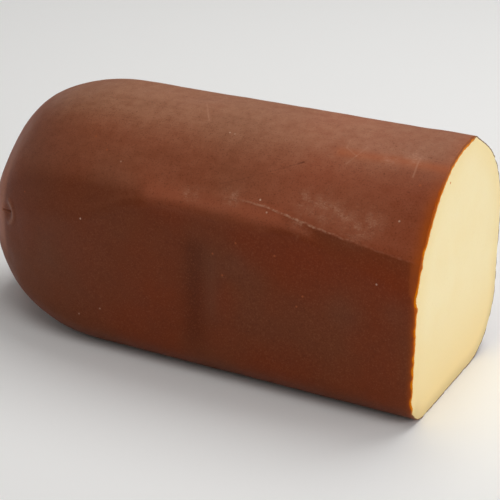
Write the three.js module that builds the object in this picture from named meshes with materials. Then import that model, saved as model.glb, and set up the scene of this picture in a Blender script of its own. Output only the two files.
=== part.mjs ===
// Smoked gouda: the end piece of a cased log, lying on its flat foot with its cut face at +X.
// Millimetres, +Z up. The origin is on the table, under the middle of the piece.

import * as THREE from 'three';

const { lerp, smoothstep } = THREE.MathUtils;

// Lengths along the log, measured from the cut face at x = 0 towards the rounded end
const TIP_REACH = 204.3;
const NOSE_LENGTH = 62;
const BODY_LENGTH = TIP_REACH - NOSE_LENGTH;

// The section seen from the cut face: y runs from the pressed front side to the back, z up from the table
const FRONT = -44.7;
const BACK = 43.2;
const HEIGHT = 101;

// Corners of the section. Along the nose, the sharper ones soften to their rounding at the tip.
const FRONT_FOOT = { y: FRONT, z: 0, round: 14, tipRound: 18 };
const BACK_FOOT = { y: BACK, z: 0, round: 26, tipRound: 30 };
const BACK_SHOULDER = { y: BACK, z: 80, round: 43, tipRound: 43 };
const CROWN = { y: 7.5, z: HEIGHT, round: 11, tipRound: 24 };
const FRONT_SHOULDER = { y: -22, z: HEIGHT - 1, round: 44, tipRound: 44 };
const NOSE_SOFTENING = { from: BODY_LENGTH, to: 195 };

// The ridge along the top of the pressed front, at places along the log, the first of them beyond the cut.
// It climbs evenly from the cut, sinks a little midway and softens into the rounded end.
const RIDGE = [
  { x: 30, y: -41, z: 62, round: 4 },
  { x: 0, y: -42, z: 67, round: 4 },
  { x: -34, y: -43.5, z: 72.8, round: 4 },
  { x: -52, y: -42, z: 75.7, round: 5 },
  { x: -70, y: -40.7, z: 77.8, round: 6 },
  { x: -88, y: -41.5, z: 77.1, round: 8 },
  { x: -106, y: -42.6, z: 75.9, round: 11 },
  { x: -124, y: -41.6, z: 77.2, round: 24 },
  { x: -146, y: -40.2, z: 77.8, round: 30 },
  { x: -210, y: -40.2, z: 77.8, round: 30 },
];

// The soft roll under the ridge. Midway it lies close under it, and a slanted band runs between the two.
const ROLL = [
  { x: 30, y: FRONT, z: 50, round: 30 },
  { x: 0, y: FRONT, z: 54.3, round: 30 },
  { x: -34, y: FRONT, z: 65, round: 16 },
  { x: -50, y: FRONT, z: 70.8, round: 10 },
  { x: -70, y: FRONT, z: 71.2, round: 14 },
  { x: -88, y: FRONT, z: 72, round: 12 },
  { x: -106, y: FRONT, z: 72, round: 10 },
  { x: -124, y: FRONT, z: 67.5, round: 20 },
  { x: -146, y: FRONT, z: 57.8, round: 30 },
  { x: -210, y: FRONT, z: 57.8, round: 30 },
];

// The rounded end: how full it is lengthwise and across, its tip, and how it slants away from that tip
const NOSE_FULLNESS = { along: 2.21, across: 2.42 };
const NOSE_SLANT = { y: -0.43, z: 0.05 };
const TIP = { y: -17.8, z: 41.4 };
const TIP_SWELL = { height: 1.3, radius: 17, fromReach: 0.35, toReach: 0.8 };

// The pinch where the casing was gathered, on the front of the nose: a shallow pit with a rim towards the cut
const PINCH = new THREE.Vector3(-187, -34.8, 49.2);
const PINCH_ALONG = new THREE.Vector3(0.92, -0.39, 0);
const PIT = { depth: 0.9, radius: 3.3 };
const RIM = { height: 0.5, radius: 4.7, width: 1.2 };

// Shallow hollows beside the pinch, one low on the front and one high
const HOLLOWS = [
  { place: new THREE.Vector3(-190, -33.5, 27), depth: 0.8, radius: 7 },
  { place: new THREE.Vector3(-193, -17, 73), depth: 1.6, radius: 15 },
];

// The nose's relief is pressed in towards its heart
const NOSE_HEART = new THREE.Vector3(-BODY_LENGTH, 0, 48);

// The soft trough pressed across the front: steeper towards the cut, and gone above the flat foot
const TROUGH = { x: -97.5, z: 42, depth: 1.7, towardsCut: 8, towardsNose: 20, halfHeight: 26 };
const FLAT_FOOT = { below: 1, clearAbove: 22 };
const FRONT_BAND = { from: 30, to: 40 };

// Facets
const NOSE_RINGS = 30;
const CROWDING_AT_TIP = 1.4;
const BODY_RINGS = 24;
const CUT_FACE_CENTRE = { y: -1, z: 48 };

const RIND = { colour: 0x6e3a24, roughness: 0.45 };

// The corner that a line makes in the section at x, passing smoothly through the line's places
function cornerAlong(line, x) {
  const index = Math.max(1, line.findIndex((place) => place.x <= x));
  const first = line[index - 1];
  const last = line[index];
  const run = last.x - first.x;
  const share = (x - first.x) / run;
  const rest = 1 - share;
  const slope = (at, size) => {
    const before = line[Math.max(at - 1, 0)];
    const after = line[Math.min(at + 1, line.length - 1)];
    return (after[size] - before[size]) / (after.x - before.x);
  };
  const blend = (size) => (
    first[size] * rest ** 2 * (1 + 2 * share) + last[size] * share ** 2 * (1 + 2 * rest)
    + run * share * rest * (slope(index - 1, size) * rest - slope(index, size) * share));
  return { y: blend('y'), z: blend('z'), round: blend('round') };
}

// A corner of the section with its rounding at one place along the log
function softened(corner, x) {
  const soft = smoothstep(-x, NOSE_SOFTENING.from, NOSE_SOFTENING.to);
  return { ...corner, round: lerp(corner.round, corner.tipRound, soft) };
}

// Corners of the section at one place along the log, in order round it.
// Each has the steps of its rounding and the steps of the straight side that follows it.
function sectionCorners(x) {
  return [
    { ...softened(FRONT_FOOT, x), arcSteps: 7, sideSteps: 6 },
    { ...softened(BACK_FOOT, x), arcSteps: 8, sideSteps: 2 },
    { ...softened(BACK_SHOULDER, x), arcSteps: 9, sideSteps: 2 },
    { ...softened(CROWN, x), arcSteps: 4, sideSteps: 3 },
    { ...softened(FRONT_SHOULDER, x), arcSteps: 9, sideSteps: 3 },
    { ...cornerAlong(RIDGE, x), arcSteps: 5, sideSteps: 2 },
    { ...cornerAlong(ROLL, x), arcSteps: 4, sideSteps: 14 },
  ];
}

// Points of one rounded corner, from the end of the side before it to the start of the side after it
function roundedCorner(before, corner, after) {
  const tip = new THREE.Vector2(corner.y, corner.z);
  const back = new THREE.Vector2(before.y, before.z).sub(tip).normalize();
  const ahead = new THREE.Vector2(after.y, after.z).sub(tip).normalize();
  const halfAngle = Math.acos(back.dot(ahead)) / 2;
  const inward = back.clone().add(ahead).normalize();
  const centre = tip.clone().addScaledVector(inward, corner.round / Math.sin(halfAngle));
  const start = tip.clone().addScaledVector(back, corner.round / Math.tan(halfAngle)).sub(centre);
  const turn = Math.PI - 2 * halfAngle;
  const points = [];
  for (let step = 0; step <= corner.arcSteps; step++) {
    const spoke = start.clone().rotateAround(new THREE.Vector2(), turn * step / corner.arcSteps);
    points.push(spoke.add(centre));
  }
  return points;
}

// The whole section at one place along the log, as points in order round it
function sectionOutline(x) {
  const corners = sectionCorners(x);
  const arcs = corners.map((corner, index) => roundedCorner(
    corners.at(index - 1), corner, corners[(index + 1) % corners.length]));
  const outline = [];
  arcs.forEach((arc, index) => {
    outline.push(...arc);
    const sideStart = arc.at(-1);
    const sideEnd = arcs[(index + 1) % arcs.length][0];
    const steps = corners[index].sideSteps;
    for (let step = 1; step < steps; step++) {
      outline.push(sideStart.clone().lerp(sideEnd, step / steps));
    }
  });
  return outline;
}

// Stations from the tip to the middle of the cut face.
// Each is the share of the section reached there and how much of the nose length is left beyond the body.
function stations() {
  const list = [];
  for (let ring = 0; ring < NOSE_RINGS; ring++) {
    const share = Math.sin(ring / NOSE_RINGS * Math.PI / 2) ** CROWDING_AT_TIP;
    const reach = (1 - share ** NOSE_FULLNESS.across) ** (1 / NOSE_FULLNESS.along);
    list.push({ share, reach, x: -BODY_LENGTH - NOSE_LENGTH * reach, centre: TIP });
  }
  for (let ring = 0; ring <= BODY_RINGS; ring++) {
    list.push({ share: 1, reach: 0, x: -BODY_LENGTH * (1 - ring / BODY_RINGS), centre: TIP });
  }
  list.push({ share: 0, reach: 0, x: 0, centre: CUT_FACE_CENTRE });
  return list;
}

function bump(distance) {
  return Math.exp(-distance * distance);
}

// How deep the rind sinks round the pinch: its pit, less the rim on its side towards the cut
function pinchDepth(point) {
  const offset = point.clone().sub(PINCH);
  const away = offset.length();
  const towardsCut = smoothstep(offset.dot(PINCH_ALONG), -RIM.radius / 2, RIM.radius / 2);
  const rim = RIM.height * towardsCut * bump((away - RIM.radius) / RIM.width);
  return PIT.depth * bump(away / PIT.radius) - rim;
}

// How deep the hollows beside the pinch are at one point
function hollowDepth(point) {
  return HOLLOWS.reduce((sum, { place, depth, radius }) => (
    sum + depth * bump(point.distanceTo(place) / radius)), 0);
}

// How far the front is pressed in by the trough across it
function troughPush(point) {
  const halfWidth = point.x > TROUGH.x ? TROUGH.towardsCut : TROUGH.towardsNose;
  const across = bump((point.x - TROUGH.x) / halfWidth);
  return TROUGH.depth * across * bump((point.z - TROUGH.z) / TROUGH.halfHeight);
}

// The front's trough fades out towards the foot, which stays flat
function pressFront(point) {
  const clearOfFoot = smoothstep(point.z, FLAT_FOOT.below, FLAT_FOOT.clearAbove);
  const front = smoothstep(-point.y, FRONT_BAND.from, FRONT_BAND.to);
  point.y += troughPush(point) * front * clearOfFoot;
}

// The nose swells at its tip, and has the pinch and its hollows
function shapeNose(point, reach) {
  const fromTip = Math.hypot(point.y - TIP.y, point.z - TIP.z);
  const nearTip = smoothstep(reach, TIP_SWELL.fromReach, TIP_SWELL.toReach);
  point.x -= TIP_SWELL.height * bump(fromTip / TIP_SWELL.radius) * nearTip;
  const inward = NOSE_HEART.clone().sub(point).normalize();
  point.addScaledVector(inward, pinchDepth(point) + hollowDepth(point));
}

// One point of the rind: a share of the section, slanted round the nose, with its relief
function rindPoint(station, corner) {
  const y = lerp(station.centre.y, corner.x, station.share);
  const z = lerp(station.centre.z, corner.y, station.share);
  const slant = NOSE_SLANT.y * (y - station.centre.y) + NOSE_SLANT.z * (z - station.centre.z);
  const point = new THREE.Vector3(station.x + station.reach * slant, y, z);
  pressFront(point);
  if (station.reach > 0) {
    shapeNose(point, station.reach);
  }
  return point;
}

// A lathe closes the skin from the tip to the middle of the cut face; its rings then take the section
function logGeometry() {
  const list = stations();
  const around = sectionOutline(0).length;
  const profile = list.map((station) => new THREE.Vector2(station.share, station.x));
  const geometry = new THREE.LatheGeometry(profile, around);
  const place = geometry.attributes.position;
  list.forEach((station, row) => {
    const outline = sectionOutline(station.x);
    for (let column = 0; column <= around; column++) {
      const point = rindPoint(station, outline[column % around]);
      place.setXYZ(column * list.length + row, point.x, point.y, point.z);
    }
  });
  return geometry;
}

// The origin goes under the middle of the piece, on the table
function centreOnTable(geometry) {
  geometry.computeBoundingBox();
  const middle = geometry.boundingBox.getCenter(new THREE.Vector3());
  geometry.translate(-middle.x, -middle.y, -geometry.boundingBox.min.z);
  geometry.computeVertexNormals();
  return geometry;
}

function rindMaterial() {
  return new THREE.MeshStandardMaterial({ color: RIND.colour, roughness: RIND.roughness, metalness: 0 });
}

function smokedGouda() {
  const cheese = new THREE.Mesh(centreOnTable(logGeometry()), rindMaterial());
  cheese.name = 'cheese';
  const group = new THREE.Group();
  group.name = 'smoked_gouda';
  group.add(cheese);
  return group;
}

export default smokedGouda();
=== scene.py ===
"""Smoked gouda, the end piece of a cased log: one closed mesh with a satin rind and a cut face of paste."""
import math
from functools import reduce
from typing import NamedTuple

import bpy
import numpy as np
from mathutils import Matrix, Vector


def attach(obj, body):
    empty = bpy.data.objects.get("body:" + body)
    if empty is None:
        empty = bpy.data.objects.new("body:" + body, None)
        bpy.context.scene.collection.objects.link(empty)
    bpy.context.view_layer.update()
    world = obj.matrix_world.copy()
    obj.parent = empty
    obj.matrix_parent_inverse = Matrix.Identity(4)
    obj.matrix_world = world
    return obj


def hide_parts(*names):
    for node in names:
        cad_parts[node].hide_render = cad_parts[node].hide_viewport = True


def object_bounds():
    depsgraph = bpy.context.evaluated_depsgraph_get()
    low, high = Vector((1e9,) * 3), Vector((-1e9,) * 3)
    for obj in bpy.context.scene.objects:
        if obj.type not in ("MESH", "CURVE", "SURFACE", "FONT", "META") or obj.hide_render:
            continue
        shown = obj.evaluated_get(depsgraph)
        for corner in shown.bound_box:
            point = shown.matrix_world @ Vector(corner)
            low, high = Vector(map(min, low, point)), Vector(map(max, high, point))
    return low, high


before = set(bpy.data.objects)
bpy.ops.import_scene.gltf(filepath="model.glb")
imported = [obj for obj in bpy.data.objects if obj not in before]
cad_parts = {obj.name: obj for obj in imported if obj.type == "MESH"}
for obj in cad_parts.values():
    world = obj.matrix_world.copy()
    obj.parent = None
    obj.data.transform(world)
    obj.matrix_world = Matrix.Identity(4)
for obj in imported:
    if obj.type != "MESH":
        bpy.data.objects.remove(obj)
cad_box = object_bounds()

# The log's own frame, in millimetres: cut face at x = 0, rounded end towards -X, front at -Y, table at z = 0
MM = 0.001
TIP_REACH = 204.3
NOSE_LENGTH = 62
BODY_LENGTH = TIP_REACH - NOSE_LENGTH
FRONT = -44.7
BACK = 43.2
HEIGHT = 101
SHIFT = Vector((cad_box[1].x / MM, cad_box[0].y / MM - FRONT, 0))


class Corner(NamedTuple):
    """A corner of the section: its place, its rounding, and the steps of its arc and of the side after it"""
    y: float
    z: float
    round: float
    tip_round: float
    arc_steps: int
    side_steps: int


FRONT_FOOT = Corner(FRONT, 0, 14, 18, 28, 24)
BACK_FOOT = Corner(BACK, 0, 26, 30, 20, 14)
BACK_SHOULDER = Corner(BACK, 80, 43, 43, 28, 10)
CROWN = Corner(7.5, HEIGHT, 11, 24, 8, 6)
FRONT_SHOULDER = Corner(-22, HEIGHT - 1, 44, 44, 60, 16)
FIRM_CORNERS = (FRONT_FOOT, BACK_FOOT, BACK_SHOULDER, CROWN, FRONT_SHOULDER)
RIDGE_STEPS = {"arc_steps": 20, "side_steps": 14}
ROLL_STEPS = {"arc_steps": 18, "side_steps": 82}
NOSE_SOFTENING = (BODY_LENGTH, 195)

# The ridge along the front and the soft roll under it: x, y, z and rounding at places along the log
RIDGE = np.array((
    (30, -41, 62, 4),
    (0, -42, 67, 4),
    (-34, -43.5, 72.8, 4),
    (-52, -42, 75.7, 5),
    (-70, -40.7, 77.8, 6),
    (-88, -41.5, 77.1, 8),
    (-106, -42.6, 75.9, 11),
    (-124, -41.6, 77.2, 24),
    (-146, -40.2, 77.8, 30),
    (-210, -40.2, 77.8, 30),
))
ROLL = np.array((
    (30, FRONT, 50, 30),
    (0, FRONT, 54.3, 30),
    (-34, FRONT, 65, 16),
    (-50, FRONT, 70.8, 10),
    (-70, FRONT, 71.2, 14),
    (-88, FRONT, 72, 12),
    (-106, FRONT, 72, 10),
    (-124, FRONT, 67.5, 20),
    (-146, FRONT, 57.8, 30),
    (-210, FRONT, 57.8, 30),
))

# The rounded end
NOSE_FULLNESS = {"along": 2.21, "across": 2.42}
NOSE_SLANT = {"y": -0.43, "z": 0.05}
TIP = np.array((-17.8, 41.4))
TIP_SWELL = {"height": 1.3, "radius": 17, "reach": (0.35, 0.8)}
NOSE_HEART = np.array((-BODY_LENGTH, 0, 48))
HOLLOWS = (
    {"place": (-190, -33.5, 27), "depth": 0.8, "radius": 7},
    {"place": (-193, -17, 73), "depth": 1.6, "radius": 15},
)

# The pinch where the casing was gathered
PINCH = np.array((-187, -34.8, 49.2))
PINCH_ALONG = np.array((0.92, -0.39, 0))
PIT = {"depth": 0.9, "radius": 3.3}
RIM = {"height": 0.5, "radius": 4.7, "width": 1.2}
SLIT = {"depth": 1.2, "half_length": 2.8, "half_width": 0.5, "rise": 0.1, "offset": -2}

# The trough across the front
TROUGH = {"x": -97.5, "z": 42, "depth": 1.7, "towards_cut": 8, "towards_nose": 20, "half_height": 26}
FLAT_FOOT = (1, 22)
FRONT_BAND = (30, 40)

# Rows of the mesh
NOSE_ROWS = 84
CROWDING_AT_TIP = 1.4
BODY_ROWS = 150
CROWDING_AT_CUT = 1.25
FACE_CENTRE = np.array((-1, 48))
FACE_INSETS = (0.25, 0.5, 0.8, 1.3, 2, 3.2, 5, 8, 12, 17, 23, 30, 38)

# Fine relief: waves by wavelength and height, the ridge's bead, one dent, and the heights where it starts
WAVES = ((45, 0.06), (14, 0.03), (5, 0.012))
WAVE_COUNT = 14
WAVE_SPREAD = (0.8, 1.3)
BEAD = {"height": 0.09, "half_width": 0.7, "from_cut": (12, 45), "fade": (65, 100)}
DENT = {"line": ((-56.3, -27.6, 90.8), (-54.3, -26.7, 91.6)), "depth": 0.45, "radius": 0.8}
RELIEF_OVER_FOOT = (0.2, 5)

# The cut edge: how far it is ragged, how it is rounded and chipped, and how the face dips towards it
RAGGED = {"depth": 0.45, "wavelength": 5.5, "seed": 11, "reach": 2.5}
RAGGED_REACH_ON_FACE = RAGGED["reach"] / 3
RAGGED_LOW_ON_FRONT = {"front": (20, 38), "height": (20, 34), "rest": 0.4}
EDGE_ROUND = 0.08
EDGE_CHIP = {"place": (0, -44, 55.5), "depth": 0.5, "radius": 5}
FACE_DIP = {"depth": 0.1, "reach": 1.6}

# The map for baking, in millimetres: what its whole side spans, its margin, and the gap between rind and face
MAP_SPAN = 345
MAP_MARGIN = 2
MAP_GAP = 5


def smooth(value, low, high):
    share = np.clip((value - low) / (high - low), 0, 1)
    return share * share * (3 - 2 * share)


def bump(distance):
    return np.exp(-np.square(distance))


def between(first, last, share):
    return first + (last - first) * share


def distance_to(points, place):
    return np.linalg.norm(points - np.array(place), axis=-1)


def distance_to_line(points, start, end):
    start = np.array(start)
    run = np.array(end) - start
    share = np.clip((points - start) @ run / (run @ run), 0, 1)
    return np.linalg.norm(points - start - share[..., None] * run, axis=-1)


def along_path(points, path, half_width):
    """One on a path through the given places, fading away from it"""
    pieces = [distance_to_line(points, start, end) for start, end in zip(path[:-1], path[1:])]
    return bump(np.min(pieces, axis=0) / half_width)


def corner_along(line, x, steps):
    """The corner that a line makes in the section at x, passing smoothly through the line's places"""
    index = max(1, int(np.argmax(line[:, 0] <= x)))
    first, last = line[index - 1], line[index]
    run = last[0] - first[0]
    share = (x - first[0]) / run
    rest = 1 - share
    before, after = line[max(index - 2, 0)], line[min(index + 1, len(line) - 1)]
    leaving = (last - before) / (last[0] - before[0])
    arriving = (after - first) / (after[0] - first[0])
    place = first * rest ** 2 * (1 + 2 * share) + last * share ** 2 * (1 + 2 * rest)
    place += run * share * rest * (leaving * rest - arriving * share)
    return Corner(place[1], place[2], place[3], place[3], **steps)


def section_corners(x):
    """Corners of the section at one place along the log, in order round it"""
    nose = smooth(-x, *NOSE_SOFTENING)
    firm = [corner._replace(round=between(corner.round, corner.tip_round, nose)) for corner in FIRM_CORNERS]
    return firm + [corner_along(RIDGE, x, RIDGE_STEPS), corner_along(ROLL, x, ROLL_STEPS)]


def rounded_corner(before, corner, after):
    """Points of one corner's arc, from the end of the side before it to the start of the side after it"""
    tip = np.array((corner.y, corner.z))
    back = np.array((before.y, before.z)) - tip
    ahead = np.array((after.y, after.z)) - tip
    back /= np.linalg.norm(back)
    ahead /= np.linalg.norm(ahead)
    half_angle = math.acos(back @ ahead) / 2
    inward = (back + ahead) / np.linalg.norm(back + ahead)
    centre = tip + inward * corner.round / math.sin(half_angle)
    spoke = tip + back * corner.round / math.tan(half_angle) - centre
    turns = np.linspace(0, math.pi - 2 * half_angle, corner.arc_steps + 1)
    y = spoke[0] * np.cos(turns) - spoke[1] * np.sin(turns)
    z = spoke[0] * np.sin(turns) + spoke[1] * np.cos(turns)
    return centre + np.stack((y, z), axis=-1)


def section_outline(x):
    """The whole section at one place along the log, as points in order round it"""
    corners = section_corners(x)
    count = len(corners)
    arcs = [rounded_corner(corners[i - 1], corners[i], corners[(i + 1) % count]) for i in range(count)]
    outline = []
    for index, arc in enumerate(arcs):
        steps = corners[index].side_steps
        shares = np.arange(1, steps)[:, None] / steps
        side_end = arcs[(index + 1) % count][0]
        outline += [arc, between(arc[-1], side_end, shares)]
    return np.concatenate(outline)


def ridge_column():
    """The column that runs along the middle of the ridge"""
    before = sum(corner.arc_steps + corner.side_steps for corner in FIRM_CORNERS)
    return before + RIDGE_STEPS["arc_steps"] // 2


def stations():
    """Each row's share of the section, its reach past the body as a share of the nose, and its x"""
    turn = np.linspace(0, math.pi / 2, NOSE_ROWS, endpoint=False)
    share = np.sin(turn) ** CROWDING_AT_TIP
    reach = (1 - share ** NOSE_FULLNESS["across"]) ** (1 / NOSE_FULLNESS["along"])
    body = BODY_LENGTH * np.linspace(1, 0, BODY_ROWS + 1) ** CROWDING_AT_CUT
    return (
        np.concatenate((share, np.ones(BODY_ROWS + 1))),
        np.concatenate((reach, np.zeros(BODY_ROWS + 1))),
        np.concatenate((-BODY_LENGTH - NOSE_LENGTH * reach, -body)))


def press_front(grid):
    """Presses the trough into the front, clear of the flat foot"""
    along = grid[..., 0] - TROUGH["x"]
    half_width = np.where(along > 0, TROUGH["towards_cut"], TROUGH["towards_nose"])
    push = TROUGH["depth"] * bump(along / half_width)
    push *= bump((grid[..., 2] - TROUGH["z"]) / TROUGH["half_height"])
    push *= smooth(-grid[..., 1], *FRONT_BAND) * smooth(grid[..., 2], *FLAT_FOOT)
    grid[..., 1] += push


def pinch_depth(points):
    """How deep the rind sinks round the pinch: a shallow pit, its rim and a slit across it"""
    offset = points - PINCH
    away = np.linalg.norm(offset, axis=-1)
    level = offset @ PINCH_ALONG
    towards_cut = smooth(level, -RIM["radius"] / 2, RIM["radius"] / 2)
    depth = PIT["depth"] * bump(away / PIT["radius"])
    depth -= RIM["height"] * towards_cut * bump((away - RIM["radius"]) / RIM["width"])
    across = (offset[..., 2] - SLIT["rise"] * level) / SLIT["half_width"]
    along = (level - SLIT["offset"]) / SLIT["half_length"]
    return depth + SLIT["depth"] * bump(across) * bump(along ** 2)


def slit_ends():
    """The two ends of the pinch's slit, a little inside the rind"""
    way = PINCH_ALONG + np.array((0, 0, SLIT["rise"]))
    shares = (SLIT["offset"] - SLIT["half_length"], SLIT["offset"] + SLIT["half_length"])
    return tuple(tuple((PINCH + way * share).tolist()) for share in shares)


def shape_nose(grid, reach):
    """Swells the tip and presses in the pinch and the hollows, on the rows beyond the body"""
    nose = grid[reach > 0]
    fraction = reach[reach > 0][:, None]
    from_tip = np.linalg.norm(nose[..., 1:] - TIP, axis=-1)
    swell = TIP_SWELL["height"] * bump(from_tip / TIP_SWELL["radius"])
    nose[..., 0] -= swell * smooth(fraction, *TIP_SWELL["reach"])
    depth = pinch_depth(nose)
    for hollow in HOLLOWS:
        depth += hollow["depth"] * bump(distance_to(nose, hollow["place"]) / hollow["radius"])
    inward = NOSE_HEART - nose
    inward /= np.linalg.norm(inward, axis=-1, keepdims=True)
    grid[reach > 0] = nose + inward * depth[..., None]


def base_grid():
    """The rind's points, by row from the tip to the cut and by column round the section"""
    share, reach, x = stations()
    section = np.array([section_outline(place) for place in x])
    across = between(TIP, section, share[:, None, None])
    slant = (across - TIP) @ np.array((NOSE_SLANT["y"], NOSE_SLANT["z"]))
    grid = np.concatenate(((x[:, None] + reach[:, None] * slant)[..., None], across), axis=-1)
    press_front(grid)
    shape_nose(grid, reach)
    return grid


def grid_normals(grid):
    """Outward directions of the rind at its points; at the tip, straight away from the cut"""
    along = np.gradient(grid, axis=0)
    around = np.roll(grid, -1, axis=1) - np.roll(grid, 1, axis=1)
    normals = np.cross(around, along)
    normals[0] = (-1, 0, 0)
    return normals / np.linalg.norm(normals, axis=-1, keepdims=True)


def distance_round(grid):
    """How far each point lies from the ridge line, measured round the section, positive above the ridge"""
    steps = np.linalg.norm(np.diff(grid, axis=1), axis=-1)
    along = np.concatenate((np.zeros((len(grid), 1)), np.cumsum(steps, axis=1)), axis=1)
    column = ridge_column()
    return along[:, column:column + 1] - along


def soft_waves(points, wavelength, seed):
    """Soft random waves of about unit height, the same on each run"""
    draw = np.random.default_rng(seed)
    directions = draw.normal(size=(WAVE_COUNT, 3))
    directions /= np.linalg.norm(directions, axis=1, keepdims=True)
    lengths = wavelength * draw.uniform(*WAVE_SPREAD, WAVE_COUNT)
    phases = draw.uniform(0, 2 * math.pi, WAVE_COUNT)
    turns = points @ (directions * 2 * math.pi / lengths[:, None]).T + phases
    return np.sin(turns).sum(axis=-1) / math.sqrt(WAVE_COUNT / 2)


def bead_height(grid, from_ridge):
    """The slight bead along the ridge, lost towards the cut and towards the nose"""
    from_cut = -grid[..., 0]
    strength = smooth(from_cut, *BEAD["from_cut"]) * (1 - smooth(from_cut, *BEAD["fade"]))
    return BEAD["height"] * strength * bump(from_ridge / BEAD["half_width"])


def fine_relief(grid, from_ridge):
    """Moves the rind a little along its own directions: soft waves, the ridge's bead and one small dent"""
    height = bead_height(grid, from_ridge)
    for seed, (wavelength, size) in enumerate(WAVES):
        height += size * soft_waves(grid, wavelength, seed)
    height -= DENT["depth"] * bump(distance_to_line(grid, *DENT["line"]) / DENT["radius"])
    height *= smooth(grid[..., 2], *RELIEF_OVER_FOOT)
    moved = grid + grid_normals(grid) * height[..., None]
    moved[..., 2] = np.maximum(moved[..., 2], 0)
    return moved


def edge_drop(points):
    """How far the cut edge lies behind the plane of the cut at each point of its ring"""
    ragged = RAGGED["depth"] * np.abs(soft_waves(points, RAGGED["wavelength"], RAGGED["seed"]))
    low_on_front = smooth(-points[:, 1], *RAGGED_LOW_ON_FRONT["front"])
    low_on_front *= 1 - smooth(points[:, 2], *RAGGED_LOW_ON_FRONT["height"])
    ragged *= between(RAGGED_LOW_ON_FRONT["rest"], 1, low_on_front)
    chip = EDGE_CHIP["depth"] * bump(distance_to(points, EDGE_CHIP["place"]) / EDGE_CHIP["radius"])
    return ragged + chip + EDGE_ROUND


def fray_edge(grid):
    """Pulls the rind back at the cut so that its edge is ragged, and gives back how far"""
    drop = edge_drop(grid[-1])
    near = 1 - smooth(-grid[..., 0], 0, RAGGED["reach"])
    grid[..., 0] -= drop * near
    return drop


def face_rings(ring, drop):
    """Rings of the cut face, from just inside its edge towards its middle"""
    towards = FACE_CENTRE - ring[:, 1:]
    away = np.linalg.norm(towards, axis=-1, keepdims=True)
    rings = []
    for inset in FACE_INSETS:
        flat = ring[:, 1:] + towards * np.minimum(inset / away, 1)
        dip = drop * (1 - smooth(inset, 0, RAGGED_REACH_ON_FACE))
        dip = dip + FACE_DIP["depth"] * bump(inset / FACE_DIP["reach"])
        rings.append(np.concatenate((-dip[:, None], flat), axis=1))
    return np.array(rings)


def mesh_faces(count, rows):
    """The mesh's faces in order: a fan at the tip, quads from ring to ring, and a fan in the cut face"""
    here = np.arange(count)
    after = (here + 1) % count
    starts = 1 + count * np.arange(rows)
    tip = np.zeros(count, int)
    middle = np.full(count, 1 + count * rows)
    fan_at_tip = np.stack((tip, starts[0] + after, starts[0] + here), axis=1)
    fan_in_face = np.stack((starts[-1] + here, starts[-1] + after, middle), axis=1)
    quads = []
    for first, last in zip(starts[:-1], starts[1:]):
        quads.append(np.stack((first + here, first + after, last + after, last + here), axis=1))
    return fan_at_tip.tolist() + np.concatenate(quads).tolist() + fan_in_face.tolist()


def build_mesh(grid, rings):
    """One closed mesh of the rind's rows and the cut face's rings, with a finish for each"""
    count = grid.shape[1]
    bands = np.concatenate((grid[1:], rings))
    points = np.concatenate((grid[0, :1], bands.reshape(-1, 3), ((0, *FACE_CENTRE),)))
    faces = mesh_faces(count, len(bands))
    mesh = bpy.data.meshes.new("smoked_gouda")
    mesh.from_pydata(((points + np.array(SHIFT)) * MM).tolist(), [], faces)
    paste = np.arange(len(faces)) >= count * (len(grid) - 1)
    mesh.polygons.foreach_set("material_index", paste.astype(np.int32))
    mesh.polygons.foreach_set("use_smooth", np.ones(len(faces), bool))
    return mesh


def running_length(steps):
    return np.concatenate(((0,), np.cumsum(steps)))


def rind_on_map(round_way, long_way):
    """Corners of the rind's faces on the map, unrolled: the fan at the tip, then row by row"""
    middles = (round_way[:-1] + round_way[1:]) / 2
    tip = np.stack((middles, np.zeros(len(middles))), axis=-1)
    rows = [np.stack((round_way, np.full(len(round_way), place)), axis=-1) for place in long_way[1:]]
    corners = [np.stack((tip, rows[0][1:], rows[0][:-1]), axis=1)]
    for low, high in zip(rows[:-1], rows[1:]):
        corners.append(np.stack((low[:-1], low[1:], high[1:], high[:-1]), axis=1))
    return corners


def face_on_map(rings, middle):
    """Corners of the cut face's faces on the map, lying flat: ring by ring, then the fan in its middle"""
    corners = []
    ahead = np.roll(rings, -1, axis=1)
    for row in range(len(rings) - 1):
        corners.append(np.stack((rings[row], ahead[row], ahead[row + 1], rings[row + 1]), axis=1))
    corners.append(np.stack((rings[-1], ahead[-1], np.broadcast_to(middle, rings[-1].shape)), axis=1))
    return corners


def add_map(mesh, grid, rings):
    """The map for baking: the rind unrolled into a rectangle, and the cut face lying flat beside it"""
    edge = grid[-1]
    round_way = running_length(np.linalg.norm(np.roll(edge, -1, axis=0) - edge, axis=-1))
    long_way = running_length(np.linalg.norm(np.diff(grid, axis=0), axis=-1).mean(axis=1))
    face_place = np.array((MAP_MARGIN, long_way[-1] + MAP_GAP + BACK))
    flat_rings = np.concatenate((grid[-1:], rings))[..., (2, 1)] + face_place
    corners = rind_on_map(round_way, long_way) + face_on_map(flat_rings, FACE_CENTRE[::-1] + face_place)
    places = np.concatenate([piece.reshape(-1, 2) for piece in corners]) / MAP_SPAN
    mesh.uv_layers.new(name="OFBake").data.foreach_set("uv", places.astype(np.float32).ravel())


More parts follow.
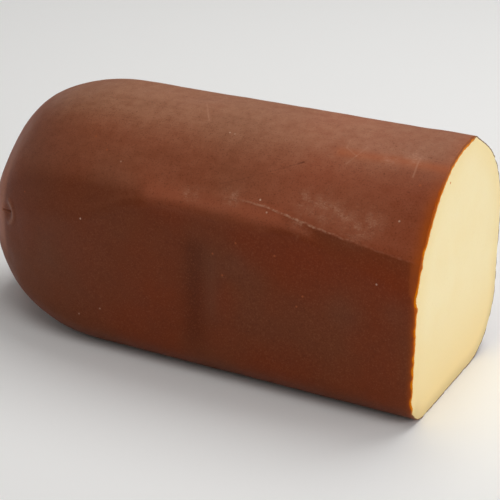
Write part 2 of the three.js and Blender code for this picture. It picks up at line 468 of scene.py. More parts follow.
# Soft patches of the rind, in the log's frame: smudges where it was rubbed, and greyer zones
SCUFFS = (
    {"place": (-43.3, -36.8, 79.1), "radius": 5.5},
    {"place": (-31, -37.1, 76.8), "radius": 5},
    {"place": (-21.8, -36.2, 77.1), "radius": 4.5},
    {"place": (-47, -40.7, 74.2), "radius": 4},
    {"place": (-22.6, -18.8, 95), "radius": 3},
    {"place": (-14, -15.1, 96.7), "radius": 4},
    {"place": (-48.4, -37.2, 81.4), "radius": 3.5},
    {"place": (-36.5, -38.6, 79), "radius": 4.5},
    {"place": (-25, -40.2, 75), "radius": 4.5},
    {"place": (-77.4, -40.4, 78.3), "radius": 3.5},
    {"place": (-94.9, -41.7, 76.6), "radius": 3},
)
DULL_ZONES = (
    {"place": (-158, -42, 48), "radius": 28},
    {"place": (-167, -40, 67), "radius": 21},
    {"place": (-74, -44.7, 54), "radius": 7},
    {"place": (-30, -44.7, 44), "radius": 9},
    {"place": (-8, -44.7, 48), "radius": 6},
)

# Soft strips along the log: the places that each runs through, and its half width
RED_ZONE = {"path": ((-66, -44, 64), (2, -44, 58)), "half_width": 10}
BLUSH_STRIP = {
    "path": ((-42, -20, 95.1), (-34.7, -19.7, 95), (-19.3, -18.2, 95.2), (-1, -18, 95.2)),
    "half_width": 2.2,
}
# Painted light on the band just above the bend under the ridge, where the rind turns up towards the light
LIT_BAND = {
    "path": ((-112, -42.5, 75), (-96, -42.9, 74.7), (-77, -42.5, 75), (-58, -42.5, 74.7)),
    "half_width": 3.4,
}
# A faint pale strip just under the lit band: painted light at the soft edge of the shade below it
LIGHT_UNDER_BAND = {
    "path": ((-112, -44, 71.5), (-92, -44.3, 70.5), (-72, -44.3, 70), (-62, -44.3, 70.5)),
    "half_width": 2.6,
}

# Upright bands of painted shade in the trough and of painted light on its flank, with the heights over which
# each starts and ends
TROUGH_SHADE = {"x": -92.5, "half_width": 6, "foot": (6, 22), "top": (54, 63)}
LIT_FLANK = {"x": -84.5, "half_width": 4, "foot": (22, 34), "top": (52, 62)}

# Broad zones of the rind, by the ranges of place or direction over which each comes and goes; the nose's and
# the end's are painted sheen, and the foot's is painted shade
ROSY = {"upward": (0.15, 0.45), "from_cut": (50, 90), "to_back": (18, 34)}
NOSE_SHEEN = {"from_pinch": (1.5, 6), "fade": (8, 31)}
END_SHEEN = {"facing": (0.45, 0.8), "height": (52, 75)}
FOOT_SHADE = (1, 11)

# The share of the painted sheen that the back has, and the half width of the pale line on the pinch's rim
BACK_SHEEN = 0.5
RIM_LINE = 0.7

# The cut face is yellower low down, and its edge is plain brown along the back and the foot
FACE_SHADE = (0, 50)
FAR_SIDE = {"foot_margin": 0.3, "range": (0.05, 0.4)}

# How thick the orange skin shows round the cut face: along the front by height, and along the back and foot
SKIN_HEIGHTS = (0, 21, 38, 54, 72, 86, 101)
SKIN_ON_FRONT = (1.2, 1.6, 1.9, 1.5, 1.9, 2.7, 2.2)
SKIN_ELSEWHERE = 0.45
THINNEST_SKIN = 0.3
SKIN_KNOTS = {"places": ((0, -42.2, 66.3), (0, -44.6, 50)), "depth": 1.2, "radius": 1.4}

# The height over which the skin at the cut turns from orange to the rind's own brown
CROWN_BAND = (88, 97)

# How far and how strongly the orange glow reaches into the rind from the cut: low on the front, and high up
GLOW_REACH = {"low": 1.7, "high": 3.6}
GLOW_STRENGTH = {"low": 0.6, "high": 0.85, "at_top": 0.3}
GLOW_HEIGHTS = {"rise": (50, 72), "top": (80, 95)}


def patch_strength(points, patches):
    """One in the middle of any of the patches, fading away from it"""
    return np.max([bump(distance_to(points, patch["place"]) / patch["radius"]) for patch in patches], axis=0)


def rim_strength(points):
    """One on the pinch's rim, on its side towards the cut"""
    offset = points - PINCH
    towards_cut = smooth(offset @ PINCH_ALONG, 0, RIM["radius"] / 2)
    return towards_cut * bump((np.linalg.norm(offset, axis=-1) - RIM["radius"]) / RIM_LINE)


def nose_sheen_strength(points):
    """Painted sheen just past the pinch on its side towards the tip: one there, fading away from the pinch"""
    past = -((points - PINCH) @ PINCH_ALONG)
    fade = 1 - smooth(distance_to(points, PINCH), *NOSE_SHEEN["fade"])
    return smooth(past, *NOSE_SHEEN["from_pinch"]) * fade


def end_sheen_strength(points, outward):
    """Painted sheen on the upper part of the rounded end: one where the rind faces away from the cut"""
    return smooth(-outward[..., 0], *END_SHEEN["facing"]) * smooth(points[..., 2], *END_SHEEN["height"])


def rosy_strength(points, upward):
    """One on the slanted facets over the ridge towards the cut"""
    strength = smooth(upward, *ROSY["upward"]) * (1 - smooth(-points[..., 0], *ROSY["from_cut"]))
    return strength * (1 - smooth(points[..., 1], *ROSY["to_back"]))


def upright_band(points, band):
    """One on an upright band across the front, fading at its sides and its ends"""
    strength = bump((points[..., 0] - band["x"]) / band["half_width"])
    strength *= smooth(points[..., 2], *band["foot"]) * (1 - smooth(points[..., 2], *band["top"]))
    return strength * smooth(-points[..., 1], *FRONT_BAND)


def glow_strength(points):
    """How strongly the cut lights up the rind from inside"""
    high = smooth(points[..., 2], *GLOW_HEIGHTS["rise"])
    reach = between(GLOW_REACH["low"], GLOW_REACH["high"], high)
    strength = between(GLOW_STRENGTH["low"], GLOW_STRENGTH["high"], high) * bump(points[..., 0] / reach)
    return strength * between(1, GLOW_STRENGTH["at_top"], smooth(points[..., 2], *GLOW_HEIGHTS["top"]))


def far_strength(base):
    """One on the columns that point to the back or down at the cut"""
    outward = grid_normals(base)[-1]
    away = np.maximum(outward[:, 1], -outward[:, 2] - FAR_SIDE["foot_margin"])
    return smooth(away, *FAR_SIDE["range"])


def skin_thickness(ring, drop, far):
    """How thick the skin shows at each point of the cut edge, thinner where the edge is torn back"""
    front = np.interp(ring[:, 2], SKIN_HEIGHTS, SKIN_ON_FRONT) - drop
    for place in SKIN_KNOTS["places"]:
        front += SKIN_KNOTS["depth"] * bump(distance_to(ring, place) / SKIN_KNOTS["radius"])
    return np.maximum(between(front, SKIN_ELSEWHERE, far), THINNEST_SKIN)


def add_measure(mesh, name, on_rind, on_face):
    """Keeps one number at each point of the mesh for its materials to read"""
    tip = on_rind[0, :1]
    middle = on_face[-1].mean(keepdims=True)
    values = np.concatenate((tip, on_rind[1:].ravel(), on_face.ravel(), middle))
    mesh.attributes.new(name, "FLOAT", "POINT").data.foreach_set("value", values.astype(np.float32))


def rind_measures(base, from_ridge):
    """The measures that the rind's material alone reads, by name"""
    outward = grid_normals(base)
    upward = outward[..., 2]
    return {
        "from_cut": -base[..., 0],
        "from_ridge": from_ridge,
        "upward": np.maximum(upward, BACK_SHEEN * outward[..., 1]),
        "rosy": rosy_strength(base, upward),
        "rim": rim_strength(base),
        "nose_sheen": nose_sheen_strength(base),
        "end_sheen": end_sheen_strength(base, outward),
        "scuff": patch_strength(base, SCUFFS),
        "dull": patch_strength(base, DULL_ZONES),
        "red": along_path(base, **RED_ZONE),
        "blush": along_path(base, **BLUSH_STRIP),
        "warm": along_path(base, **LIT_BAND),
        "light_under_band": along_path(base, **LIGHT_UNDER_BAND),
        "trough_shade": upright_band(base, TROUGH_SHADE),
        "lit_flank": upright_band(base, LIT_FLANK),
        "foot": 1 - smooth(base[..., 2], *FOOT_SHADE),
        "glow": glow_strength(base),
    }


def add_measures(mesh, base, rings, from_ridge, drop):
    """Adds the measures that the materials read, with zeros on the rind or the face where one is not read"""
    none_on_rind = np.zeros(base.shape[:2])
    none_on_face = np.zeros(rings.shape[:2])
    for name, values in rind_measures(base, from_ridge).items():
        add_measure(mesh, name, values, none_on_face)
    far = far_strength(base)
    skin = skin_thickness(base[-1], drop, far)
    insets = none_on_face + np.array(FACE_INSETS)[:, None]
    add_measure(mesh, "inset", none_on_rind, insets)
    add_measure(mesh, "past_skin", none_on_rind - skin, insets - skin)
    add_measure(mesh, "low", none_on_rind, 1 - smooth(rings[..., 2], *FACE_SHADE))
    add_measure(mesh, "crown", smooth(base[..., 2], *CROWN_BAND), smooth(rings[..., 2], *CROWN_BAND))
    add_measure(mesh, "far", none_on_rind + far, none_on_face + far)


class Noise(NamedTuple):
    """A noise of the materials: the size of its features in millimetres, and how fine and bent they are"""
    size: float
    detail: float = 2
    roughness: float = 0.5
    distortion: float = 0


class Ramp(NamedTuple):
    """A smooth change from start to end as the value that it follows goes from low to high"""
    low: float
    high: float
    start: float = 0
    end: float = 1


class Nodes:
    """A material's node tree, with short calls that add a node and give back its output"""

    def __init__(self, name):
        self.material = bpy.data.materials.new(name)
        self.material.use_nodes = True
        self.tree = self.material.node_tree
        self.shader = self.tree.nodes["Principled BSDF"]

    def join(self, value, socket):
        """Links another node's output to a socket, or gives the socket a plain value"""
        if isinstance(value, bpy.types.NodeSocket):
            self.tree.links.new(value, socket)
        elif value is not None:
            socket.default_value = value

    def set(self, **values):
        """Gives values to the shader's sockets, named with _ for each space"""
        for name, value in values.items():
            self.join(value, self.shader.inputs[name.replace("_", " ")])

    def math(self, operation, first, second=None, third=None, clamp=False):
        node = self.tree.nodes.new("ShaderNodeMath")
        node.operation = operation
        node.use_clamp = clamp
        for value, socket in zip((first, second, third), node.inputs):
            self.join(value, socket)
        return node.outputs[0]

    def times(self, first, second, clamp=False):
        return self.math("MULTIPLY", first, second, clamp=clamp)

    def strongest(self, values):
        return reduce(lambda first, second: self.math("MAXIMUM", first, second), values)

    def vector(self, operation, first, second=None, third=None):
        node = self.tree.nodes.new("ShaderNodeVectorMath")
        node.operation = operation
        for value, socket in zip((first, second, third), node.inputs):
            self.join(value, socket)
        return node.outputs["Value" if operation in ("DISTANCE", "DOT_PRODUCT") else "Vector"]

    def scaled(self, vector, factor):
        node = self.tree.nodes.new("ShaderNodeVectorMath")
        node.operation = "SCALE"
        self.join(vector, node.inputs[0])
        self.join(factor, node.inputs["Scale"])
        return node.outputs["Vector"]

    def measure(self, name):
        node = self.tree.nodes.new("ShaderNodeAttribute")
        node.attribute_name = name
        return node.outputs["Fac"]

    def place(self):
        """The place on the surface in the log's frame, in millimetres"""
        node = self.tree.nodes.new("ShaderNodeTexCoord")
        millimetres = (1 / MM, 1 / MM, 1 / MM)
        return self.vector("MULTIPLY_ADD", node.outputs["Object"], millimetres, tuple(-SHIFT))

    def noise(self, place, noise):
        node = self.tree.nodes.new("ShaderNodeTexNoise")
        self.join(place, node.inputs["Vector"])
        node.inputs["Scale"].default_value = 1 / noise.size
        node.inputs["Detail"].default_value = noise.detail
        node.inputs["Roughness"].default_value = noise.roughness
        node.inputs["Distortion"].default_value = noise.distortion
        return node.outputs["Fac"]

    def ramp(self, value, ramp):
        node = self.tree.nodes.new("ShaderNodeMapRange")
        node.interpolation_type = "SMOOTHSTEP"
        for name, number in zip(("From Min", "From Max", "To Min", "To Max"), ramp):
            node.inputs[name].default_value = number
        self.join(value, node.inputs["Value"])
        return node.outputs[0]

    def pattern(self, place, noise, ramp):
        """A noise, brought by a ramp to the strength that it has"""
        return self.ramp(self.noise(place, noise), ramp)

    def swayed(self, value, place, noise, reach):
        """A value moved up and down by a noise, by half the reach at most"""
        return self.math("ADD", value, self.math("MULTIPLY_ADD", self.noise(place, noise), reach, -reach / 2))

    def mix(self, share, first, last):
        node = self.tree.nodes.new("ShaderNodeMix")
        node.data_type = "RGBA"
        first_colour, last_colour = (socket for socket in node.inputs if socket.type == "RGBA")
        self.join(share, node.inputs["Factor"])
        self.join(first, first_colour)
        self.join(last, last_colour)
        return next(socket for socket in node.outputs if socket.type == "RGBA")

    def bump(self, height, strength, distance):
        node = self.tree.nodes.new("ShaderNodeBump")
        self.join(height, node.inputs["Height"])
        node.inputs["Strength"].default_value = strength
        node.inputs["Distance"].default_value = distance
        return node.outputs["Normal"]

    def near_line(self, place, start, end, half_width, core=0):
        """One on a line between two places and out to its core, fading to nothing at its half width"""
        start = Vector(start)
        run = Vector(end) - start
        offset = self.vector("SUBTRACT", place, tuple(start))
        along = self.vector("DOT_PRODUCT", offset, tuple(run / run.length_squared))
        nearest = self.scaled(tuple(run), self.times(along, 1, clamp=True))
        return self.ramp(self.vector("DISTANCE", offset, nearest), Ramp(half_width, core))

    def near_path(self, place, path, half_width):
        """One on a path through the given places, fading to nothing at its half width"""
        ends = zip(path[:-1], path[1:])
        return self.strongest([self.near_line(place, start, end, half_width) for start, end in ends])

    def near_points(self, place, points, radius):
        """One at any of the given places, fading to nothing at the radius"""
        fade = Ramp(radius, radius / 2)
        return self.strongest([self.ramp(self.vector("DISTANCE", place, point), fade) for point in points])


def linear(red, green, blue):
    """A colour given as sRGB screen values from 0 to 255, as the linear values that shaders take"""
    screen = np.array((red, green, blue)) / 255
    value = np.where(screen <= 0.04045, screen / 12.92, ((screen + 0.055) / 1.055) ** 2.4)
    return (*value.tolist(), 1)


# Colours as the photograph's own light shows them on a surface lit in full
RIND_WARM = linear(121, 52, 20)
RIND_DULL = linear(115, 58, 30)
RIND_DARK = linear(100, 45, 22)
# Painted sheen: paler colours standing in for the rind's glossy reflection and for light on faces turned to
# it
RIND_PAINTED_LIGHT = linear(205, 130, 98)
TOP_SHEEN = linear(200, 165, 131)
RIND_GREY = linear(113, 67, 45)
GRAIN_DARK = linear(88, 40, 18)
GRAIN_PALE = linear(158, 92, 62)
# Painted shade in the trough
RIND_TROUGH_SHADE = linear(92, 36, 2)
RIND_SHADE = linear(82, 50, 32)
# Reddish blush of the rind, also used for the painted sheen on the rounded end
RIND_BLUSH = linear(182, 94, 52)
# Painted light on the band under the ridge
RIND_LIT_BAND = linear(178, 96, 66)
RIND_RED = linear(128, 47, 11)
RIND_ROSY = linear(152, 60, 30)
RIND_WORN = linear(190, 138, 110)
RIND_SPECK = linear(205, 165, 140)
# A dark line, and painted shade in the dent and the slit
DARK_LINE_AND_RECESS_SHADE = linear(74, 26, 12)
CUT_GLOW = linear(172, 79, 16)
CUT_EDGE = linear(166, 74, 12)
CHIP_PALE = linear(166, 80, 34)
EDGE_BROWN = linear(122, 84, 60)
SKIN = linear(166, 77, 8)
SKIN_ON_CROWN = linear(148, 84, 50)
CUT_LINE = linear(216, 124, 0)
PASTE = linear(251, 234, 187)
PASTE_EDGE = linear(247, 222, 161)
PASTE_LOW = linear(245, 217, 156)
PASTE_SPOT = linear(226, 205, 150)
PASTE_SHADE = linear(212, 188, 136)

# The painted sheen on the rind, in place of its glossy reflection: soft patches and faint streaks along the
# log
SHEEN_PATCHES = {"noise": Noise(5, detail=5, roughness=0.7), "ramp": Ramp(0.25, 0.75, 0.7, 1.3)}
SHEEN_STREAKS = {"noise": Noise(1.5, detail=3, roughness=0.6), "ramp": Ramp(0.3, 0.7, 0.93, 1.07)}
STREAK_STRETCH = (0.06, 1, 1)

# Where the painted sheen lies, by distance from the ridge and from the cut, and how strong it is by direction
SHEEN_OFF_RIDGE = Ramp(0.5, 5, 0.6, 1)
SHEEN_PAST_RIDGE = Ramp(45, 70)
SHEEN_FROM_CUT = Ramp(0, 50, 0.6, 1)
SHEEN_TO_NOSE = Ramp(125, 180, 1, 0.6)
SHEEN_FACING_UP = Ramp(0.15, 0.5, 0, 0.25)
SHEEN_ON_TOP = Ramp(0.7, 1, 0, 0.19)

# The rind's own pattern: two browns, darker clouds and fine grain
BROWNS = {"noise": Noise(42), "ramp": Ramp(0.35, 0.65)}
CLOUDS = {"noise": Noise(10, detail=4, roughness=0.6), "ramp": Ramp(0.42, 0.75, 0, 0.22)}
GRAIN = Noise(0.6)
DARK_GRAIN = Ramp(0.5, 0.8, 0, 0.5)
PALE_GRAIN = Ramp(0.5, 0.2, 0, 0.3)

# Broad tints of the rind: the measure that each follows, its share and its colour
TINTS = (
    ("dull", 0.45, RIND_GREY),
    ("red", 0.5, RIND_RED),
    ("rosy", 0.3, RIND_ROSY),
    # Painted shade in the trough, and painted light on its flank
    ("trough_shade", 0.6, RIND_TROUGH_SHADE),
    ("lit_flank", 0.4, RIND_GREY),
    ("foot", 0.5, RIND_SHADE),
    # Painted light in the pale strip under the lit band
    ("light_under_band", 0.07, RIND_PAINTED_LIGHT),
    # Painted sheen on the rounded end
    ("end_sheen", 0.3, RIND_BLUSH),
    # Painted sheen on the nose past the pinch
    ("nose_sheen", 0.45, RIND_PAINTED_LIGHT),
    ("rim", 0.35, RIND_WORN),
)
LIT_BAND_SHARE = 0.45
BLUSH_SHARE = 0.5

# Scuffs: pale smudges with fine strokes in them
SCUFF_CLOUDS = {"noise": Noise(3.2, detail=3), "ramp": Ramp(0.38, 0.62, 0.25, 1.2)}
SCUFF_STROKES = {
    "noise": Noise(0.8, detail=4, roughness=0.75, distortion=1.6),
    "ramp": Ramp(0.48, 0.68, 0, 0.7),
}
STROKE_STRETCH = (0.4, 1, 1)
SMUDGE_SHARE = 0.18

# The worn line on the ridge's crest: how it wanders, how wide it is, how it is broken, and where it runs
WEAR_WANDER = {"noise": Noise(4, detail=3), "reach": 1.6}
WEAR_LINE = Ramp(0.6, 0.1)
WEAR_BREAKS = {"noise": Noise(1.6, detail=3, roughness=0.6), "ramp": Ramp(0.38, 0.62, 0.15, 1)}
WEAR_FROM_CUT = Ramp(20, 48, 0.12, 0.8)
WEAR_END = Ramp(80, 60)

# Scratches over the top, in the log's frame
SCRATCHES = (
    ((-11.8, -23.5, 92.5), (-12, -21.1, 94.2), (-12.3, -18.4, 95.7), (-12.3, -15.5, 97)),
    ((-37.9, -24.6, 93.2), (-35.6, -20.8, 95.4)),
    ((-35.6, -20.8, 95.4), (-40.8, -18.1, 96.9)),
    ((-40.8, -18.1, 96.9), (-41.2, -13.9, 98.5)),
    ((-35.6, -20.8, 95.4), (-33.3, -15.7, 97.7)),
    ((-100.6, -16.7, 97.8), (-103.6, -12.2, 99.2), (-107.3, -6.6, 100.3)),
)
SCRATCH = {"half_width": 0.6, "share": 0.36}

# Dark lines of the rind: their places, half width and share; in the dent and the slit they are painted shade
FAINT_LINE = (
    (-84, -37.8, 81.4), (-76.5, -35.7, 83.8), (-69.3, -33.2, 86.5), (-62.2, -30.7, 89), (-56.1, -28, 91.2),
)
DARK_LINES = (
    (FAINT_LINE, 0.45, 0.17),
    (DENT["line"], 0.7, 0.85),
    (slit_ends(), 0.7, 0.9),
)

# Small specks of the rind: their places, radius, share and colour
RED_SPECKS = (
    (-144.1, -31.1, 88.4), (-175.1, -38.5, 61.5), (-136.9, -34.5, 85), (-8.1, -25.6, 90.6),
    (-45.2, -44.7, 46), (-47.6, -44.7, 41.3), (-73.6, -44.7, 61.7), (-79.5, -44.7, 47.2),
    (-57, -44.7, 60.1), (-83.7, -44.6, 55.3),
)
FAINT_SPECKS = ((-128.8, -37.1, 82.3), (-86.6, -21.3, 95.8), (-147, -44.6, 15.2), (-136.6, -44.7, 19.9))
PALE_SPECKS = ((-11.5, -35.5, 79.6), (-15.6, -44.7, 57.4), (-61.8, -42.1, 75.6), (-88.9, -21, 95.9))
BRIGHT_SPECKS = ((-144.2, -44.5, 57.8), (-65.8, -39.6, 79))
SPECKS = (
    (RED_SPECKS, 0.6, 0.5, RIND_BLUSH),
    (FAINT_SPECKS, 0.5, 0.4, RIND_SPECK),
    (PALE_SPECKS, 0.5, 0.65, RIND_SPECK),
    (BRIGHT_SPECKS, 0.5, 1, RIND_SPECK),
)

# The rind beside the cut: its uneven glow, the pale patch over the chip, and the frayed line along the edge
GLOW_PATCHES = {"noise": Noise(5, detail=3), "ramp": Ramp(0.3, 0.65, 0.7, 1.1)}
CHIP_PATCH = {"start": (-1, -42.9, 65), "end": (-0.6, -44, 57), "half_width": 3.2, "core": 1.8}
CHIP_SHARE = 0.4
FRAY = Noise(1.1)
EDGE_FRAY_REACH = 0.8
EDGE_LINE = Ramp(0.9, 0.1)
EDGE_ON_CROWN = Ramp(0, 1, 1, 0.1)

# The rind's gloss and its pores, with the depth of their bump in metres
RIND_SPECULAR = 0.12
GLOSS_PATCHES = {"noise": Noise(14, detail=3), "ramp": Ramp(0.3, 0.7, 0.42, 0.52)}
PORES = Noise(0.9, detail=3)
PORE_BUMP = {"strength": 0.25, "distance": 0.00012}

# The paste's own pattern, its gloss, and how light goes into it, with bump and depth in metres
PASTE_FROM_EDGE = Ramp(0, 14, 0.4, 1)
PASTE_LOW_SHARE = 0.8
PASTE_DRIFT = {"noise": Noise(18), "ramp": Ramp(0.35, 0.8, 0, 0.3)}
PASTE_SPOTS = Noise(1.2, detail=3)
SPOT_SHARE = Ramp(0.5, 0.8, 0, 0.12)
SPOT_BUMP = {"strength": 0.2, "distance": 0.0001}
SHADE_NEAR_EDGE = Ramp(8, 0, 0, 0.7)
PASTE_GLOSS = {"Roughness": 0.5, "Specular_IOR_Level": 0.03}
PASTE_DEPTH = {"Subsurface_Weight": 0.05, "Subsurface_Radius": (1, 0.6, 0.25), "Subsurface_Scale": 0.003}

# The skin round the paste: how its inner edge frays, and the bright line along that edge
SKIN_FRAY_REACH = 0.7
SKIN_EDGE = Ramp(0.12, -0.12)
BRIGHT_LINE = Ramp(-1.15, -0.7)
BRIGHT_LINE_INSET = Ramp(0.05, 0.4)
FACE_SPECK = {"places": ((0, -16.3, 89.9),), "radius": 0.6}


def sheen_speckle(nodes, place):
    """How the painted sheen varies over the rind"""
    stretched = nodes.vector("MULTIPLY", place, STREAK_STRETCH)
    return nodes.times(nodes.pattern(place, **SHEEN_PATCHES), nodes.pattern(stretched, **SHEEN_STREAKS))


def sheen_places(nodes):
    """Where the painted sheen lies: weaker towards the cut and the nose, and by the cut weakest along the
    ridge
    """
    from_cut = nodes.measure("from_cut")
    clear_of_ridge = nodes.ramp(nodes.math("ABSOLUTE", nodes.measure("from_ridge")), SHEEN_OFF_RIDGE)
    beyond = nodes.strongest([clear_of_ridge, nodes.ramp(from_cut, SHEEN_PAST_RIDGE)])
    on_body = nodes.times(nodes.ramp(from_cut, SHEEN_FROM_CUT), nodes.ramp(from_cut, SHEEN_TO_NOSE))
    return nodes.times(beyond, on_body)


def add_tints(nodes, colour):
    for measure, share, tint in TINTS:
        colour = nodes.mix(nodes.times(nodes.measure(measure), share), colour, tint)
    return colour


def rind_colour(nodes, place):
    """The rind's browns under its tints, painted sheen, painted light on the band under the ridge, and grain
    """
    upward = nodes.measure("upward")
    grain = nodes.noise(place, GRAIN)
    speckle = sheen_speckle(nodes, place)
    low_sheen = nodes.times(speckle, sheen_places(nodes))
    colour = nodes.mix(nodes.pattern(place, **BROWNS), RIND_WARM, RIND_DULL)
    colour = nodes.mix(nodes.pattern(place, **CLOUDS), colour, RIND_DARK)
    colour = add_tints(nodes, colour)
    # Painted sheen on faces turned up and back
    colour = nodes.mix(nodes.times(low_sheen, nodes.ramp(upward, SHEEN_FACING_UP)), colour, RIND_PAINTED_LIGHT)
    # Painted light on the band under the ridge
    colour = nodes.mix(nodes.times(nodes.measure("warm"), LIT_BAND_SHARE), colour, RIND_LIT_BAND)
    # A paler painted sheen over the top
    colour = nodes.mix(nodes.times(speckle, nodes.ramp(upward, SHEEN_ON_TOP)), colour, TOP_SHEEN)
    colour = nodes.mix(nodes.ramp(grain, DARK_GRAIN), colour, GRAIN_DARK)
    return nodes.mix(nodes.ramp(grain, PALE_GRAIN), colour, GRAIN_PALE)


def add_scuffs(nodes, place, colour):
    """Pale smudges where the rind was rubbed, with fine strokes in them"""
    patch = nodes.times(nodes.measure("scuff"), nodes.pattern(place, **SCUFF_CLOUDS))
    stretched = nodes.vector("MULTIPLY", place, STROKE_STRETCH)
    strokes = nodes.times(patch, nodes.pattern(stretched, **SCUFF_STROKES), clamp=True)
    colour = nodes.mix(nodes.times(patch, SMUDGE_SHARE, clamp=True), colour, RIND_WORN)
    return nodes.mix(strokes, colour, RIND_WORN)


def add_worn_ridge(nodes, place, colour):
    """The thin broken line where the ridge's crest is rubbed pale"""
    from_cut = nodes.measure("from_cut")
    off_crest = nodes.swayed(nodes.measure("from_ridge"), place, **WEAR_WANDER)
    line = nodes.ramp(nodes.math("ABSOLUTE", off_crest), WEAR_LINE)
    span = nodes.times(nodes.ramp(from_cut, WEAR_FROM_CUT), nodes.ramp(from_cut, WEAR_END))
    strength = nodes.times(span, nodes.pattern(place, **WEAR_BREAKS))
    return nodes.mix(nodes.times(line, strength), colour, RIND_WORN)


def add_lines(nodes, place, colour):
    """Pale scratches, a faint dark line, and painted shade in the dent and the slit"""
    for path in SCRATCHES:
        scratch = nodes.near_path(place, path, SCRATCH["half_width"])
        colour = nodes.mix(nodes.times(scratch, SCRATCH["share"]), colour, RIND_WORN)
    for path, half_width, share in DARK_LINES:
        line = nodes.near_path(place, path, half_width)
        colour = nodes.mix(nodes.times(line, share), colour, DARK_LINE_AND_RECESS_SHADE)
    return colour


def add_specks(nodes, place, colour):
    for places, radius, share, tint in SPECKS:
        specks = nodes.near_points(place, places, radius)
        colour = nodes.mix(nodes.times(specks, share), colour, tint)
    return colour


def add_cut_glow(nodes, place, colour):
    """The rind turns orange close to the cut, where light comes through it from the paste"""
    glow = nodes.times(nodes.measure("glow"), nodes.pattern(place, **GLOW_PATCHES), clamp=True)
    colour = nodes.mix(glow, colour, CUT_GLOW)
    chip = nodes.near_line(place, **CHIP_PATCH)
    colour = nodes.mix(nodes.times(chip, CHIP_SHARE), colour, CHIP_PALE)
    frayed = nodes.swayed(nodes.measure("from_cut"), place, FRAY, EDGE_FRAY_REACH)
    line = nodes.times(nodes.ramp(frayed, EDGE_LINE), nodes.ramp(nodes.measure("crown"), EDGE_ON_CROWN))
    return nodes.mix(line, colour, nodes.mix(nodes.measure("far"), CUT_EDGE, EDGE_BROWN))


def rind_material():
    nodes = Nodes("smoked_rind")
    place = nodes.place()
    colour = rind_colour(nodes, place)
    colour = nodes.mix(nodes.times(nodes.measure("blush"), BLUSH_SHARE), colour, RIND_BLUSH)
    for add in (add_scuffs, add_worn_ridge, add_lines, add_specks, add_cut_glow):
        colour = add(nodes, place, colour)
    nodes.set(
        Base_Color=colour,
        Roughness=nodes.pattern(place, **GLOSS_PATCHES),
        Normal=nodes.bump(nodes.noise(place, PORES), **PORE_BUMP),
        Specular_IOR_Level=RIND_SPECULAR)
    return nodes.material


def paste_colour(nodes, place, spots):
    """The paste: paler in the middle, yellower low down, and shaded there along the back and the foot"""
    inset = nodes.measure("inset")
    low = nodes.measure("low")
    colour = nodes.mix(nodes.ramp(inset, PASTE_FROM_EDGE), PASTE_EDGE, PASTE)
    colour = nodes.mix(nodes.times(low, PASTE_LOW_SHARE), colour, PASTE_LOW)
    colour = nodes.mix(nodes.pattern(place, **PASTE_DRIFT), colour, PASTE_EDGE)
    colour = nodes.mix(nodes.ramp(spots, SPOT_SHARE), colour, PASTE_SPOT)
    shaded = nodes.times(nodes.measure("far"), nodes.ramp(inset, SHADE_NEAR_EDGE))
    return nodes.mix(nodes.times(shaded, low), colour, PASTE_SHADE)


def add_skin(nodes, place, colour):
    """The skin round the paste: orange with a bright inner line, but brown on the crown, back and foot"""
    past_skin = nodes.swayed(nodes.measure("past_skin"), place, FRAY, SKIN_FRAY_REACH)
    off_rind = nodes.ramp(nodes.measure("inset"), BRIGHT_LINE_INSET)
    skin = nodes.mix(nodes.measure("crown"), SKIN, SKIN_ON_CROWN)
    skin = nodes.mix(nodes.times(nodes.ramp(past_skin, BRIGHT_LINE), off_rind), skin, CUT_LINE)
    skin = nodes.mix(nodes.measure("far"), skin, EDGE_BROWN)
    return nodes.mix(nodes.ramp(past_skin, SKIN_EDGE), colour, skin)


def paste_material():
    nodes = Nodes("cut_paste")
    place = nodes.place()
    spots = nodes.noise(place, PASTE_SPOTS)
    colour = add_skin(nodes, place, paste_colour(nodes, place, spots))
    speck = nodes.near_points(place, FACE_SPECK["places"], FACE_SPECK["radius"])
    nodes.set(
        Base_Color=nodes.mix(speck, colour, CUT_LINE),
        Normal=nodes.bump(spots, **SPOT_BUMP),
        **PASTE_GLOSS,
        **PASTE_DEPTH)
    return nodes.material


def make_cheese():
    base = base_grid()
    from_ridge = distance_round(base)
    grid = fine_relief(base, from_ridge)
    drop = fray_edge(grid)
    rings = face_rings(grid[-1], drop)
    mesh = build_mesh(grid, rings)
    add_measures(mesh, base, rings, from_ridge, drop)
    add_map(mesh, grid, rings)
    mesh.materials.append(rind_material())
    mesh.materials.append(paste_material())
    piece = bpy.data.objects.new("smoked_gouda", mesh)
    bpy.context.collection.objects.link(piece)
    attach(piece, "root")
    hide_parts("cheese")


# The studio, in metres in the part's frame
FLOOR_HALF_SIZE = 3
FLOOR_COLOUR = linear(247, 246, 244)
FLOOR_GLOSS = {"Roughness": 0.9, "Specular_IOR_Level": 0}
WORLD_STRENGTH = 0.14
WORLD_COLOUR = (1, 1, 1, 1)
LIGHTS = (
    {"name": "right_front", "place": (0.95, -0.4, 0.45), "size": (0.6, 0.6), "power": 2.8},
    {"name": "top_front", "place": (0.15, -0.3, 1.15), "size": (0.8, 0.8), "power": 2.25},
    {"name": "top_back", "place": (0.15, 0.5, 1.1), "size": (0.8, 0.8), "power": 7.1},
    {"name": "right", "place": (1.0, 0.1, 0.35), "size": (0.6, 0.5), "power": 1.75},
    {"name": "back", "place": (-0.5, 1.1, 0.75), "size": (1.6, 1.0), "power": 1.3},
    {"name": "left", "place": (-1.1, -0.3, 0.5), "size": (0.7, 0.7), "power": 0.9},
    {"name": "far_left", "place": (-1.1, 0.5, 0.35), "size": (0.8, 0.6), "power": 0.5},
)
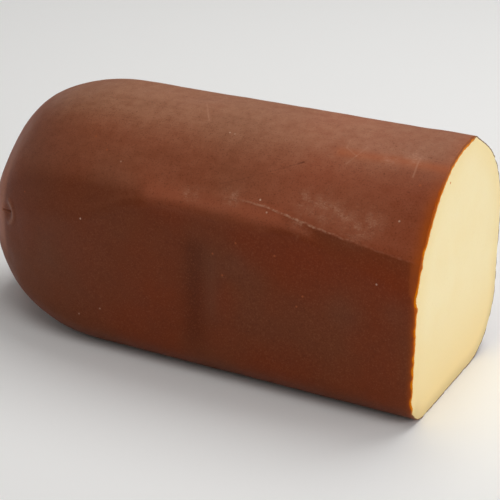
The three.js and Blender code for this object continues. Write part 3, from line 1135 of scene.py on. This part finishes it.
LIGHT_AIM = Vector((0.02, 0, 0.05))


def make_floor():
    half = FLOOR_HALF_SIZE
    corners = [(-half, -half, 0), (half, -half, 0), (half, half, 0), (-half, half, 0)]
    mesh = bpy.data.meshes.new("floor")
    mesh.from_pydata(corners, [], [(0, 1, 2, 3)])
    floor = bpy.data.objects.new("floor", mesh)
    bpy.context.collection.objects.link(floor)
    nodes = Nodes("pale_floor")
    nodes.set(Base_Color=FLOOR_COLOUR, **FLOOR_GLOSS)
    mesh.materials.append(nodes.material)


def make_lights():
    for light in LIGHTS:
        lamp = bpy.data.lights.new(light["name"], "AREA")
        lamp.shape = "RECTANGLE"
        lamp.size, lamp.size_y = light["size"]
        lamp.energy = light["power"]
        holder = bpy.data.objects.new(light["name"], lamp)
        holder.location = light["place"]
        holder.rotation_euler = (LIGHT_AIM - holder.location).to_track_quat("-Z", "Y").to_euler()
        bpy.context.collection.objects.link(holder)


def make_world():
    world = bpy.data.worlds.new("studio")
    world.use_nodes = True
    background = world.node_tree.nodes["Background"]
    background.inputs["Strength"].default_value = WORLD_STRENGTH
    background.inputs["Color"].default_value = WORLD_COLOUR
    bpy.context.scene.world = world


# The camera, placed in the log's frame in millimetres
CAMERA_PLACE = Vector((180.63, -505.37, 290.25))
CAMERA_AZIMUTH = 28.3
CAMERA_ELEVATION = 23.73
FOCAL_PIXELS = 1524
IMAGE_PIXELS = 500
SENSOR_WIDTH = 36


def make_camera():
    lens = bpy.data.cameras.new("camera")
    lens.sensor_width = SENSOR_WIDTH
    lens.lens = FOCAL_PIXELS * SENSOR_WIDTH / IMAGE_PIXELS
    camera = bpy.data.objects.new("camera", lens)
    camera.location = (CAMERA_PLACE + SHIFT) * MM
    camera.rotation_euler = (math.radians(90 - CAMERA_ELEVATION), 0, math.radians(CAMERA_AZIMUTH))
    bpy.context.collection.objects.link(camera)
    bpy.context.scene.camera = camera


make_cheese()
make_floor()
make_lights()
make_world()
make_camera()
bpy.context.scene.view_settings.view_transform = "Standard"
